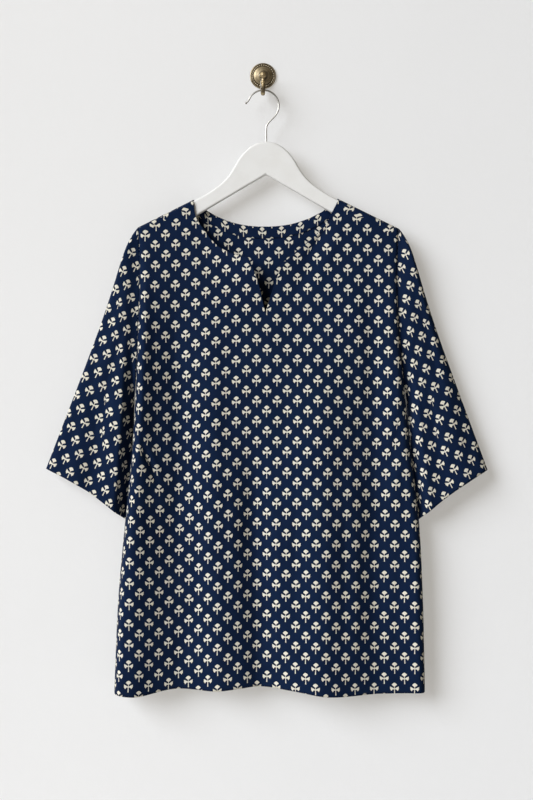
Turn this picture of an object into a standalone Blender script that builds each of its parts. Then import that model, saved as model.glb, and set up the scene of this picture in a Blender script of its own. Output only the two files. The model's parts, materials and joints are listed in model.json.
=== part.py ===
"""A tunic top on a wooden hanger, hung from a brass wall hook.

Seen from the front, +X is to the viewer's right, +Y goes into the wall and +Z is up. The origin is the
centre of the hook plate's back, on the wall. Left and right in names are the wearer's, so the right
sleeve is at -X. Sizes are in metres, written through MM.
"""

import math
from collections import namedtuple

import bmesh
import bpy
import numpy as np
from mathutils import Vector

MM = 0.001

CLOTH_WALL = 1.2 * MM
FACING_WALL = 1 * MM
SEAM_GAP = 0.3 * MM
SIDE_SEAM_GAP = 0.9 * MM  # between the middles of the two walls, which lean together there
SHOULDER_SEAM_GAP = 0.8 * MM
MIDDLE_Y = -24 * MM  # the plane of the hanger, where front and back meet

# The hanger: a flat wooden one, tilted a little on its hook.
HANGER_X = 5 * MM
HANGER_TILT = math.radians(0.15)
HANGER_HALF_DEPTH = 5.5 * MM
HANGER_EDGE_RADIUS = 3 * MM
HANGER_TOP_Z = -110.8 * MM
HANGER_HALF_SPAN = 201 * MM
HANGER_CROWN_RADIUS = 44 * MM
HANGER_CROWN_END = 48  # degrees, where the crown's arc runs into the flank
ARM_SLOPE = math.tan(math.radians(26.3))
ARM_TOP_AT_NECK = (116 * MM, -205.2 * MM)  # reach from the middle, and height of the arm's top edge there
ARM_END_HEIGHT = 19 * MM
NOTCH_Z = -163.7 * MM  # the point of the underside
UNDERSIDE_SLOPE = 0.585
FlankPoint = namedtuple("FlankPoint", "reach z")
HANGER_FLANK = tuple(
    FlankPoint(reach * MM, z * MM)
    for reach, z in (
        (35.8, -128),
        (40.6, -133.5),
        (45.2, -139.9),
        (48.8, -146.3),
        (52.4, -152.8),
        (56.4, -159.2),
        (60.9, -165.6),
        (66.5, -172),
        (73.5, -178.5),
        (82, -185),
        (92, -191.8),
        (104, -199),
    )
)

# Its steel wire
WIRE_RADIUS = 1.4 * MM
WIRE_BORE_DEPTH = 22 * MM
BORE_CLEARANCE = 0.35 * MM
LOOP_RADIUS = 25 * MM
LOOP_CENTRE = (0.4 * MM, -52.6 * MM)
LOOP_SPAN = (-42, 156)  # degrees round the loop
WIRE_TIP = ((-24.6 * MM, -45.8 * MM), (-26.4 * MM, -47.3 * MM))
WIRE_BULB_LENGTH = 3 * MM

# The wall hook: a turned plate and a swept arm with a ball at its tip.
PLATE_RADIUS = 21.2 * MM
CROOK_RADIUS = 12 * MM
ARM_RADIUS = 3.5 * MM
BALL_RADIUS = 5.8 * MM
BALL_Z = -6 * MM

# The cloth over the hanger's arms.
CLOTH_CLEARANCE = 0.9 * MM  # between the arm's top edge and the cloth on it
SHOULDER_RADIUS = 7.1 * MM  # the middle of the cloth wall, over the arm's round top
SHOULDER_SEAM_FORWARD = 5.5 * MM  # the seam lies this far in front of the top line
ARMHOLE_HALF_GAP = 6 * MM
ARMHOLE_CLEAR = 1.1 * MM  # from the body's edge to the middle of the sleeve's wall
UNDERARM_CLEAR = CLOTH_WALL + SEAM_GAP + 0.1 * MM  # the walls stand side by side there
ARMHOLE_CLOSING = 40 * MM  # the armhole narrows to the underarm over this length
UNDERARM_Z = -495 * MM
FRONT_EDGE_ROUND = 14 * MM
BACK_EDGE_ROUND = 45 * MM
RIGHT_NECK_X = -112 * MM
LEFT_NECK_X = 121 * MM
NECK_RISE = 12 * MM  # how far inside the neck points the top line still follows the hanger's arms
NECK_TURN = 2.4 * MM  # the width in which the back's neck edge turns over the hanger's arm
BACK_NECK_DROP = 42 * MM
BACK_NECK_POWER = 2.3
HEM_Z = -990 * MM
FIRST_ROWS = tuple(way * MM for way in (0, 3.5, 7, 10.5, 14.5, 19.5))  # from a panel's top, down the cloth

Level = namedtuple("Level", "z right left")
BODY_LEVELS = tuple(
    Level(z * MM, right * MM, left * MM)
    for z, right, left in (
        (-992, -238.4, 259.8),
        (-842, -231.6, 256.4),
        (-712, -219.8, 249.4),
        (-624, -211.2, 239.4),
        (-558, -206.5, 232.0),
        (UNDERARM_Z / MM, -203.5, 225.5),
        (-430, -201.0, 219.1),
        (-307, -197.6, 215.0),
        (-250, -199.0, 217.0),
    )
)

Swell = namedtuple("Swell", "z front back")
SWELLS = tuple(
    Swell(z * MM, front * MM, back * MM)
    for z, front, back in (
        (-990, 22, 14),
        (-600, 21, 14),
        (-450, 18, 13),
        (-330, 11.5, 11),
        (-250, 8.2, 9.2),
    )
)

HemPoint = namedtuple("HemPoint", "x front back")
HEM = tuple(
    HemPoint(x * MM, front * MM, back * MM)
    for x, front, back in (
        (-239, -994, -994),
        (-205, -997, -991),
        (-145, -987.5, -987),
        (-78, -989.5, -990),
        (-5, -984, -988),
        (46, -988.5, -989),
        (106, -997, -990),
        (180, -995.5, -989),
        (222, -994.5, -992),
        (260, -994, -994),
    )
)

# A fold runs from its top to the hem. Positive depth stands out from the panel, negative sinks in.
Fold = namedtuple("Fold", "top_z top_x hem_x depth top_width hem_width")
FRONT_FOLDS = tuple(
    Fold(*(value * MM for value in row))
    for row in (
        (-262, -187, -200, 11, 13, 24),
        (-262, -140, -115, -13, 24, 32),
        (-400, -84, -64, 8, 22, 26),
        (-500, -26, -4, -10, 22, 28),
        (-400, 92, 100, 11, 40, 46),
        (-262, 172, 186, -12, 16, 32),
        (-262, 205, 234, 4, 13, 20),
    )
)
BACK_FOLDS = tuple(
    Fold(*(value * MM for value in row))
    for row in (
        (-330, -168, -186, -4, 18, 26),
        (-330, -120, -128, 5, 24, 36),
        (-420, -50, -58, -5, 26, 34),
        (-380, 18, 26, 4.5, 28, 38),
        (-450, 84, 92, -4.5, 24, 30),
        (-330, 132, 148, 5, 24, 34),
    )
)
FOLD_GROWTH = 260 * MM  # a fold reaches its full depth this far below its top

# Where the front stands out round the slit: its right corner curls forward.
Curl = namedtuple("Curl", "x z depth across down")
CURLS = tuple(
    Curl(*(value * MM for value in row))
    for row in (
        (-22, -300, 9, 34, 44),
        (34, -306, 3, 26, 36),
    )
)

NecklinePoint = namedtuple("NecklinePoint", "x z")
RIGHT_NECKLINE = tuple(
    NecklinePoint(x * MM, z * MM)
    for x, z in (
        (-106, -235.5),
        (-96, -250),
        (-83, -268),
        (-68, -281.6),
        (-51, -290.6),
        (-23, -299),
    )
)
SLIT_FOOT = NecklinePoint(3.9 * MM, -387 * MM)
RIGHT_SLIT = (NecklinePoint(-9.5 * MM, -332 * MM), SLIT_FOOT)
LEFT_SLIT = (NecklinePoint(20 * MM, -337 * MM), NecklinePoint(32 * MM, -307.6 * MM))
LEFT_NECKLINE = tuple(
    NecklinePoint(x * MM, z * MM)
    for x, z in (
        (49, -291.6),
        (67, -276.6),
        (84, -262.6),
        (99, -247.6),
        (110, -226.6),
    )
)

# A sleeve hangs from the shoulder point to its cuff. Its folds are laid out like the front's.
Sleeve = namedtuple("Sleeve", "name side out edge cuff_outer cuff_inner_z cuff_bow folds")
SLEEVES = (
    Sleeve(
        name="sleeve_right",
        side="right",
        out=-1,
        edge=-199.0 * MM,
        cuff_outer=(-348.6 * MM, -636 * MM),
        cuff_inner_z=-722 * MM,
        cuff_bow=7.5 * MM,
        folds=tuple(
            Fold(*(value * MM for value in row))
            for row in (
                (-300, -221, -242, 4, 14, 18),
                (-400, -252, -310, -5, 14, 16),
                (-450, -272, -350, 3, 16, 20),
            )
        ),
    ),
    Sleeve(
        name="sleeve_left",
        side="left",
        out=1,
        edge=217.0 * MM,
        cuff_outer=(361 * MM, -638 * MM),
        cuff_inner_z=-722 * MM,
        cuff_bow=5 * MM,
        folds=tuple(
            Fold(*(value * MM for value in row))
            for row in (
                (-300, 243, 400, 5, 18, 24),
                (-420, 262, 300, -3, 14, 20),
            )
        ),
    ),
)
SHOULDER_BULGE = 7.5 * MM
SHOULDER_BULGE_SPAN = 0.1  # share of the sleeve's length
SLEEVE_CLEAR = 2.2 * MM  # beside the body's edge
SLEEVE_TUCK = 5 * MM  # how far its inner edge goes behind the body's
TUCK_SPAN = (0.38, 0.7)  # the shares of its length between which it slips behind
SLEEVE_LEAVES = 0.15  # the share of its length over which it comes away from the armhole
SLEEVE_FILLS = 0.3  # the share over which it reaches its full depth
VALLEY_ABOVE = 60 * MM  # the valley beside the body starts this far above the underarm
VALLEY_GROWTH = 130 * MM
SLEEVE_INNER_Y = -9.5 * MM
SLEEVE_OUTER_Y = -21 * MM
SLEEVE_BACK_Y = -7.5 * MM
SLEEVE_VALLEY_Y = -15.5 * MM  # beside the body, below the underarm
SLEEVE_RISE = 22 * MM  # the way over which it comes forward again
SLEEVE_FRONT_Y = -36 * MM
OUTER_ROUND = 15 * MM
INNER_ROUND = 8 * MM

NAVY = (0.012, 0.022, 0.066)
FACED_NAVY = (0.010, 0.018, 0.055)
WHITE_PAINT = (0.78, 0.77, 0.74)
STEEL = (0.56, 0.55, 0.53)
BRASS = (0.42, 0.31, 0.16)


def clear_scene():
    for obj in list(bpy.data.objects):
        bpy.data.objects.remove(obj, do_unlink=True)


def material(name, colour, roughness, metallic=0.0):
    made = bpy.data.materials.new(name)
    made.use_nodes = True
    shader = made.node_tree.nodes["Principled BSDF"]
    shader.inputs["Base Color"].default_value = (*colour, 1)
    shader.inputs["Roughness"].default_value = roughness
    shader.inputs["Metallic"].default_value = metallic
    return made


def smooth(value, start, end):
    share = np.clip((value - start) / (end - start), 0, 1)
    return share * share * (3 - 2 * share)


def round_in(share):
    """A quarter of a circle: 0 at the edge, 1 and level from share 1 on."""
    return np.sqrt(1 - (1 - np.clip(share, 0, 1)) ** 2)


def between(table, knot, column, at):
    """A smooth curve through a table's column."""
    knots = np.array([getattr(row, knot) for row in table])
    values = np.array([getattr(row, column) for row in table])
    slopes = np.gradient(values, knots)
    at = np.clip(at, knots[0], knots[-1])
    low = np.clip(np.searchsorted(knots, at) - 1, 0, len(knots) - 2)
    width = knots[low + 1] - knots[low]
    share = (at - knots[low]) / width
    rise = values[low] + (values[low + 1] - values[low]) * share**2 * (3 - 2 * share)
    leave = slopes[low] * width * share * (1 - share) ** 2
    arrive = slopes[low + 1] * width * share**2 * (1 - share)
    return rise + leave - arrive


def curve_through(points, count):
    """count + 1 points, evenly spaced along a smooth curve through the given (x, z) points."""
    points = np.array(points, float)
    along = np.concatenate([[0], np.cumsum(np.linalg.norm(np.diff(points, axis=0), axis=1))])
    Knot = namedtuple("Knot", "along x z")
    table = tuple(Knot(a, x, z) for a, (x, z) in zip(along, points))
    at = np.linspace(0, along[-1], count + 1)
    return np.stack([between(table, "along", "x", at), between(table, "along", "z", at)], axis=1)


def side_edge(side, z):
    """Where the body's side or armhole edge is at a height."""
    return between(BODY_LEVELS, "z", side, z)


def hang_point():
    """The point of the hanger's wire that lies in the hook."""
    return np.array([LOOP_CENTRE[0], LOOP_CENTRE[1] + LOOP_RADIUS])


def hung(x, z):
    """A point of the upright hanger, turned with it about the point it hangs from."""
    pivot = hang_point()
    cos, sin = math.cos(HANGER_TILT), math.sin(HANGER_TILT)
    dx, dz = x - pivot[0], z - pivot[1]
    return pivot[0] + dx * cos - dz * sin, pivot[1] + dx * sin + dz * cos


def shoulder_line(x):
    """The height of the cloth wall's middle over the hanger's arms."""
    reach, height = ARM_TOP_AT_NECK
    lift = (CLOTH_CLEARANCE + CLOTH_WALL / 2) * math.hypot(1, ARM_SLOPE)
    lines = []
    for out in (-1, 1):
        near = hung(HANGER_X + out * reach, height)
        far = hung(HANGER_X + out * HANGER_HALF_SPAN, height - ARM_SLOPE * (HANGER_HALF_SPAN - reach))
        slope = (far[1] - near[1]) / (far[0] - near[0])
        lines.append((near, slope))
    (right, right_slope), (left, left_slope) = lines
    on_right = right[1] + right_slope * (x - right[0])
    on_left = left[1] + left_slope * (x - left[0])
    return np.where(x < HANGER_X, on_right, on_left) + lift


def top_height(x):
    """The height that a column of cloth drops from: the shoulder line, and straight between the necks."""
    right, left = RIGHT_NECK_X + NECK_RISE, LEFT_NECK_X - NECK_RISE
    ends = shoulder_line(np.array([right, left]))
    return np.where((x > right) & (x < left), np.interp(x, [right, left], ends), shoulder_line(x))


def fold_relief(folds, x, z):
    total = np.zeros(np.broadcast(x, z).shape)
    for fold in folds:
        down = (fold.top_z - z) / (fold.top_z - HEM_Z)
        centre = fold.top_x + (fold.hem_x - fold.top_x) * down
        width = fold.top_width + (fold.hem_width - fold.top_width) * np.clip(down, 0, 1)
        grown = smooth(fold.top_z - z, 0, FOLD_GROWTH)
        total += fold.depth * grown * np.exp(-(((x - centre) / width) ** 2))
    return total


def curl_relief(x, z):
    return sum(
        curl.depth * np.exp(-(((x - curl.x) / curl.across) ** 2) - ((z - curl.z) / curl.down) ** 2)
        for curl in CURLS
    )


def armhole_half_gap(z):
    """Half the opening between front and back at the armhole, closing to a seam at the underarm."""
    opened = ARMHOLE_HALF_GAP * round_in((z - UNDERARM_Z) / ARMHOLE_CLOSING)
    return np.maximum(opened, SIDE_SEAM_GAP / 2)


def edge_distance(x, z):
    return np.minimum(x - side_edge("right", z), side_edge("left", z) - x)


def front_lift(x, z):
    """How far the front stands in front of the hanger's plane."""
    gap = armhole_half_gap(z)
    full = between(SWELLS, "z", "front", z) + fold_relief(FRONT_FOLDS, x, z) + curl_relief(x, z)
    return gap + round_in(edge_distance(x, z) / FRONT_EDGE_ROUND) * (full - gap)


def back_lift(x, z):
    gap = armhole_half_gap(z)
    full = between(SWELLS, "z", "back", z) + fold_relief(BACK_FOLDS, x, z)
    spread = FRONT_EDGE_ROUND + (BACK_EDGE_ROUND - FRONT_EDGE_ROUND) * smooth(z, -300 * MM, -480 * MM)
    return gap + round_in(edge_distance(x, z) / spread) * (full - gap)


def cloth_points(face, x, top, arc):
    """Points on the body: face -1 is the front and 1 the back, arc the way down the cloth from the top line.
    A negative arc reaches over the top line to the other face."""
    reached = np.where(arc < 0, -face, face)
    angle = np.minimum(np.abs(arc) / SHOULDER_RADIUS, math.pi / 2)
    straight = np.maximum(np.abs(arc) - SHOULDER_RADIUS * math.pi / 2, 0)
    z = top - SHOULDER_RADIUS * (1 - np.cos(angle)) - straight
    lift = np.where(reached < 0, front_lift(x, z), back_lift(x, z))
    return np.stack([x + 0 * z, MIDDLE_Y + reached * np.sin(angle) * lift, z], axis=-1)


def arc_of_drop(drop):
    """The way down the cloth to a point that far below the top line."""
    over = np.clip(1 - drop / SHOULDER_RADIUS, 0, 1)
    return SHOULDER_RADIUS * np.arccos(over) + np.maximum(drop - SHOULDER_RADIUS, 0)


def shoulder_tops(side, count, seam_arc):
    """The top of each column on a shoulder, from the armhole to the neck point."""
    edge = float(side_edge(side, BODY_LEVELS[-1].z))
    neck = RIGHT_NECK_X if side == "right" else LEFT_NECK_X
    x = edge + (neck - edge) * np.linspace(0, 1, count + 1)
    return x, np.full(count + 1, seam_arc)


def neck_tops(points, count):
    """The top of each column along a stretch of the neck edge."""
    x, z = curve_through(points, count).T
    return x, arc_of_drop(top_height(x) - z)


def joined(*stretches):
    """One row of column tops out of stretches that share their end points."""
    x = np.concatenate([stretch[0] if i == 0 else stretch[0][1:] for i, stretch in enumerate(stretches)])
    arc = np.concatenate([stretch[1] if i == 0 else stretch[1][1:] for i, stretch in enumerate(stretches)])
    return x, arc


def reversed_tops(stretch):
    return stretch[0][::-1], stretch[1][::-1]


def neck_corner(x, seam_arc):
    """The (x, z) where a neck edge leaves the shoulder seam."""
    z = float(top_height(np.array(x))) - SHOULDER_RADIUS * (1 - math.cos(seam_arc / SHOULDER_RADIUS))
    return NecklinePoint(x, z)


def front_tops(shoulder=9, neckline=8, slit=4):
    seam = SHOULDER_SEAM_FORWARD + SHOULDER_SEAM_GAP / 2
    right = (neck_corner(RIGHT_NECK_X, seam), *RIGHT_NECKLINE)
    left = (LEFT_SLIT[-1], *LEFT_NECKLINE, neck_corner(LEFT_NECK_X, seam))
    return joined(
        shoulder_tops("right", shoulder, seam),
        neck_tops(right, neckline),
        neck_tops((RIGHT_NECKLINE[-1], *RIGHT_SLIT), slit),
        neck_tops((SLIT_FOOT, *LEFT_SLIT), slit),
        neck_tops(left, neckline),
        reversed_tops(shoulder_tops("left", shoulder, seam)),
    )


def back_neck_drop(x):
    """How far the back's neck edge lies below the top line."""
    middle = (RIGHT_NECK_X + LEFT_NECK_X) / 2
    half = (LEFT_NECK_X - RIGHT_NECK_X) / 2
    share = np.clip(np.abs(x - middle) / half, 0, 1)
    necks = [RIGHT_NECK_X, LEFT_NECK_X]
    level = np.interp(x, necks, shoulder_line(np.array(necks)))
    return BACK_NECK_DROP * (1 - share**BACK_NECK_POWER) + top_height(x) - level


def back_tops(shoulder=7, turn=3, neckline=16):
    seam = -SHOULDER_SEAM_FORWARD + SHOULDER_SEAM_GAP / 2
    shares = (1 - np.cos(math.pi * np.linspace(0, 1, neckline + 1))) / 2
    right, left = RIGHT_NECK_X + NECK_TURN, LEFT_NECK_X - NECK_TURN
    x = right + (left - right) * (0.4 * shares + 0.6 * np.linspace(0, 1, neckline + 1))
    arc = arc_of_drop(back_neck_drop(x))
    steps = np.linspace(0, 1, turn + 1)
    return joined(
        shoulder_tops("right", shoulder, seam),
        (RIGHT_NECK_X + NECK_TURN * steps, seam + (arc[0] - seam) * steps),
        (x, arc),
        (left + NECK_TURN * steps, arc[-1] + (seam - arc[-1]) * steps),
        reversed_tops(shoulder_tops("left", shoulder, seam)),
    )


def low_shares(count, evenness=0.15):
    """How far across each column stands low on the body, closer together at the sides."""
    even = np.linspace(0, 1, count)
    return evenness * even + (1 - evenness) * (1 - np.cos(math.pi * even)) / 2


def panel_grid(face, tops, rows, power=1.3, spread_z=-620 * MM):
    """Rows of points down a body panel. Its columns spread from their tops to an even layout."""
    top_x, top_arc = tops
    top = top_height(top_x)
    across = low_shares(len(top_x))
    hem_x = side_edge("right", HEM_Z) * (1 - across) + side_edge("left", HEM_Z) * across
    hem_column = "front" if face < 0 else "back"
    hem_arc = arc_of_drop(top - between(HEM, "x", hem_column, hem_x))
    first = np.array(FIRST_ROWS)[:, None] + 0 * top_arc
    share = (np.linspace(0, 1, rows - len(first) + 2)[1:] ** power)[:, None]
    rest = FIRST_ROWS[-1] + (hem_arc - top_arc - FIRST_ROWS[-1]) * share
    arc = top_arc + np.concatenate([first, rest])
    start_z = top - np.maximum(top_arc, 0)
    z = top - np.maximum(arc, 0)
    top_right, top_left = side_edge("right", start_z), side_edge("left", start_z)
    top_across = (top_x - top_right) / (top_left - top_right)
    share = top_across + (across - top_across) * smooth(start_z - z, 0, start_z - spread_z)
    x = side_edge("right", z) * (1 - share) + side_edge("left", z) * share
    return cloth_points(face, x, top, arc)


def sleeve_grid(sleeve, rings=15, half_count=15):
    """Rings of a sleeve from the armhole to the cuff. Each runs down the front from the outer fold line
    to the inner one, and back up behind."""
    out = sleeve.out
    shoulder_z = float(top_height(np.array(sleeve.edge)))
    along = (np.linspace(0, 1, rings + 1) ** 1.35)[:, None]
    share = (1 - np.cos(math.pi * np.linspace(0, 1, half_count + 1))) / 2
    across = np.concatenate([share[:-1], share[:0:-1]])
    face = np.concatenate([-np.ones(half_count), np.ones(half_count)])

    bulge = along / SHOULDER_BULGE_SPAN * np.exp(1 - along / SHOULDER_BULGE_SPAN)
    outer_x = sleeve.edge + (sleeve.cuff_outer[0] - sleeve.edge) * along + out * SHOULDER_BULGE * bulge
    outer_z = shoulder_z + (sleeve.cuff_outer[1] - shoulder_z) * along
    inner_z = UNDERARM_Z + (sleeve.cuff_inner_z - UNDERARM_Z) * along
    clear = UNDERARM_CLEAR + (SLEEVE_CLEAR - UNDERARM_CLEAR) * smooth(along, 0, SLEEVE_LEAVES)
    tucked = (SLEEVE_CLEAR + SLEEVE_TUCK) * smooth(along, *TUCK_SPAN)
    inner_x = side_edge(sleeve.side, inner_z) + out * (clear - tucked)

    z = outer_z + (inner_z - outer_z) * across
    x = outer_x + (inner_x - outer_x) * across
    opened = smooth(z[0] - UNDERARM_Z, ARMHOLE_CLOSING / 2, 4 * ARMHOLE_CLOSING)
    seam_x = side_edge(sleeve.side, z[0]) + out * (UNDERARM_CLEAR + (ARMHOLE_CLEAR - UNDERARM_CLEAR) * opened)
    x = x + (seam_x - x[0]) * (1 - smooth(along, 0, 0.5))
    z = z + sleeve.cuff_bow * smooth(along, 0.4, 1) * np.sin(math.pi * across)

    chord = np.hypot(outer_x - inner_x, outer_z - inner_z)
    from_outer = across * chord
    from_inner = (1 - across) * chord
    beside = out * (x - side_edge(sleeve.side, z))
    below = smooth(UNDERARM_Z + VALLEY_ABOVE - z, 0, VALLEY_GROWTH) * smooth(along, 0, SLEEVE_LEAVES)
    valley = (MIDDLE_Y - ARMHOLE_HALF_GAP) * (1 - below) + SLEEVE_VALLEY_Y * below
    risen = smooth(beside, 1 * MM, SLEEVE_RISE)
    front = valley + (SLEEVE_FRONT_Y - valley) * risen - fold_relief(sleeve.folds, x, z) * risen
    filled = smooth(along, 0, SLEEVE_FILLS)
    back = MIDDLE_Y + ARMHOLE_HALF_GAP + (SLEEVE_BACK_Y - MIDDLE_Y - ARMHOLE_HALF_GAP) * filled
    layer = np.where(face < 0, front, back + 0 * z)

    outer_y = MIDDLE_Y + (SLEEVE_OUTER_Y - MIDDLE_Y) * smooth(along, 0, 0.4)
    inner_y = MIDDLE_Y + (SLEEVE_INNER_Y - MIDDLE_Y) * smooth(along, 0.02, 0.36)
    edge_y = outer_y + (inner_y - outer_y) * across
    outer_round = SHOULDER_RADIUS + (OUTER_ROUND - SHOULDER_RADIUS) * filled
    inner_round = ARMHOLE_CLOSING + (INNER_ROUND - ARMHOLE_CLOSING) * filled
    closing = round_in(from_outer / outer_round) * round_in(from_inner / inner_round)
    y = edge_y + (layer - edge_y) * closing
    return np.stack([x, y, z], axis=-1)


def moved_in(grid, distance):
    """A grid moved along its own normals, towards -Y for one that lies on the back."""
    down = np.gradient(grid, axis=0)
    across = np.gradient(grid, axis=1)
    normals = np.cross(down, across)
    normals /= np.linalg.norm(normals, axis=-1, keepdims=True)
    normals *= -np.sign(normals[..., 1:2])
    return grid + normals * distance


def facing_grid(back, first=11, last=25):
    """A strip inside the back neck, made from the back panel's own points."""
    return moved_in(back[: len(FIRST_ROWS), first : last + 1], CLOTH_WALL + SEAM_GAP)


def quads(rows, columns, wraps):
    for row in range(rows - 1):
        for column in range(columns if wraps else columns - 1):
            after = (column + 1) % columns
            low = row * columns
            high = low + columns
            yield low + column, high + column, high + after, low + after


def mesh_object(name, points, faces, finish):
    mesh = bpy.data.meshes.new(name)
    mesh.from_pydata([tuple(point) for point in points], [], faces)
    mesh.materials.append(finish)
    obj = bpy.data.objects.new(name, mesh)
    bpy.context.scene.collection.objects.link(obj)
    return obj


def shade_round(obj, sharp_angle=math.radians(35)):
    obj.data.shade_smooth()
    obj.data.set_sharp_from_angle(angle=sharp_angle)


def cloth_piece(name, grid, finish, wraps=False, wall=CLOTH_WALL):
    """A cloth wall whose middle is a grid of points; wraps joins the last column to the first."""
    rows, columns, _ = grid.shape
    obj = mesh_object(name, grid.reshape(-1, 3), list(quads(rows, columns, wraps)), finish)
    obj.data.shade_smooth()
    solidify = obj.modifiers.new("Wall", "SOLIDIFY")
    solidify.thickness = wall
    solidify.offset = 0
    return obj


def lofted(name, rings, finish):
    """A closed solid through rings of points, with a flat face at each end."""
    count = len(rings[0])
    points = [point for ring in rings for point in ring]
    faces = list(quads(len(rings), count, wraps=True))
    last = len(points) - count
    faces.append(tuple(range(count)))
    faces.append(tuple(reversed(range(last, last + count))))
    obj = mesh_object(name, points, faces, finish)
    tidy = bmesh.new()
    tidy.from_mesh(obj.data)
    bmesh.ops.recalc_face_normals(tidy, faces=tidy.faces)
    tidy.to_mesh(obj.data)
    tidy.free()
    shade_round(obj)
    return obj


def swept_rings(path, radii, across, sides):
    """Rings round a flat path. across is the direction that stands square to the path's plane."""
    across = Vector(across)
    path = [Vector(point) for point in path]
    rings = []
    for i, (point, radius) in enumerate(zip(path, radii)):
        ahead = path[min(i + 1, len(path) - 1)] - path[max(i - 1, 0)]
        beside = ahead.normalized().cross(across)
        turns = (2 * math.pi * k / sides for k in range(sides))
        rings.append([point + radius * (math.cos(t) * across + math.sin(t) * beside) for t in turns])
    return rings


def arc_points(centre, radius, start, end, count):
    """Points (a, z) along an arc, angles in degrees from the first axis."""
    angles = np.radians(np.linspace(start, end, count + 1))
    return [(centre[0] + radius * math.cos(a), centre[1] + radius * math.sin(a)) for a in angles]


def hanger_outline():
    """The upright hanger's outline, right half first, from the crown down to the notch and back."""
    reach, neck_z = ARM_TOP_AT_NECK
    nose_radius = ARM_END_HEIGHT / 2
    slope = math.atan(ARM_SLOPE)
    end_x = HANGER_HALF_SPAN - nose_radius
    nose_centre = (end_x, neck_z - ARM_SLOPE * (end_x - reach) - nose_radius / math.cos(slope))
    nose_start = 90 - math.degrees(slope)
    crown_z = HANGER_TOP_Z - HANGER_CROWN_RADIUS
    crown = arc_points((0, crown_z), HANGER_CROWN_RADIUS, 90, HANGER_CROWN_END, 6)
    flank = curve_through([crown[-1], *HANGER_FLANK, (reach, neck_z)], 14)[1:]
    nose = arc_points(nose_centre, nose_radius, nose_start, nose_start - 160, 8)
    half = [*crown, *map(tuple, flank), *nose, (reach, NOTCH_Z - UNDERSIDE_SLOPE * reach)]
    mirrored = [(-x, z) for x, z in reversed(half)][:-1]
    return [*half, (0, NOTCH_Z), *mirrored]


def build_hanger(finish):
    half_depth = HANGER_HALF_DEPTH
    points = [hung(HANGER_X + x, z) for x, z in hanger_outline()]
    front = [(x, MIDDLE_Y - half_depth, z) for x, z in points]
    back = [(x, MIDDLE_Y + half_depth, z) for x, z in points]
    obj = lofted("hanger_body", [front, back], finish)
    edges = obj.modifiers.new("Round edges", "BEVEL")
    edges.width = HANGER_EDGE_RADIUS
    edges.segments = 3
    edges.limit_method = "ANGLE"
    edges.angle_limit = math.radians(50)
    low, high = HANGER_TOP_Z - WIRE_BORE_DEPTH, HANGER_TOP_Z + 5 * MM
    path = [(*hung_3d(HANGER_X, z),) for z in (low, high)]
    radius = WIRE_RADIUS + BORE_CLEARANCE
    cutter = lofted("wire_bore_cutter", swept_rings(path, [radius] * 2, (0, 1, 0), 12), finish)
    cutter.hide_render = True
    cutter.display_type = "WIRE"
    bore = obj.modifiers.new("Wire bore", "BOOLEAN")
    bore.operation = "DIFFERENCE"
    bore.object = cutter
    return obj


def hung_3d(x, z):
    turned_x, turned_z = hung(x, z)
    return turned_x, MIDDLE_Y, turned_z


def build_wire_hook(finish):
    """The steel hook: up out of the crown, round its loop, and out at the tip in a small bulb."""
    bottom = HANGER_TOP_Z - WIRE_BORE_DEPTH + 1 * MM
    loop = arc_points(LOOP_CENTRE, LOOP_RADIUS, *LOOP_SPAN, 28)
    bend = [(0, bottom), (0, -100 * MM), (0, -90 * MM), (0.9 * MM, -84.6 * MM), (3.4 * MM, -80.5 * MM)]
    shank = [(HANGER_X + x, z) for x, z in bend]
    line = [*shank, *loop, *WIRE_TIP]
    smoothed = curve_through(line, 62)
    end = smoothed[-1]
    ahead = (smoothed[-1] - smoothed[-2]) / np.linalg.norm(smoothed[-1] - smoothed[-2])
    shares = np.linspace(0.15, 0.97, 5)
    bulb = [end + ahead * WIRE_BULB_LENGTH * share for share in shares]
    radii = [WIRE_RADIUS] * len(smoothed)
    radii += [1.5 * WIRE_RADIUS * math.sqrt(1 - (2 * share - 1) ** 2) for share in shares]
    path = [hung_3d(x, z) for x, z in [*smoothed, *bulb]]
    return lofted("hanger_hook", swept_rings(path, radii, (0, 1, 0), 8), finish)


def build_plate(finish, sides=40):
    """The round wall plate, turned about the Y axis, with a stepped rim and a low dome."""
    Step = namedtuple("Step", "radius depth")
    steps = [
        Step(PLATE_RADIUS - 0.6 * MM, 0),
        Step(PLATE_RADIUS, 0.8 * MM),
        Step(PLATE_RADIUS - 0.4 * MM, 2.4 * MM),
        Step(PLATE_RADIUS - 1.6 * MM, 3.1 * MM),
        Step(PLATE_RADIUS - 2.6 * MM, 2.5 * MM),
        Step(PLATE_RADIUS - 5.4 * MM, 3.0 * MM),
        Step(PLATE_RADIUS - 6.2 * MM, 4.2 * MM),
        Step(11.5 * MM, 6.0 * MM),
        Step(7.0 * MM, 7.3 * MM),
        Step(4.6 * MM, 7.7 * MM),
    ]
    turns = [2 * math.pi * k / sides for k in range(sides)]
    rings = [[(s.radius * math.cos(t), -s.depth, s.radius * math.sin(t)) for t in turns] for s in steps]
    return lofted("hook_plate", rings, finish)


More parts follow.
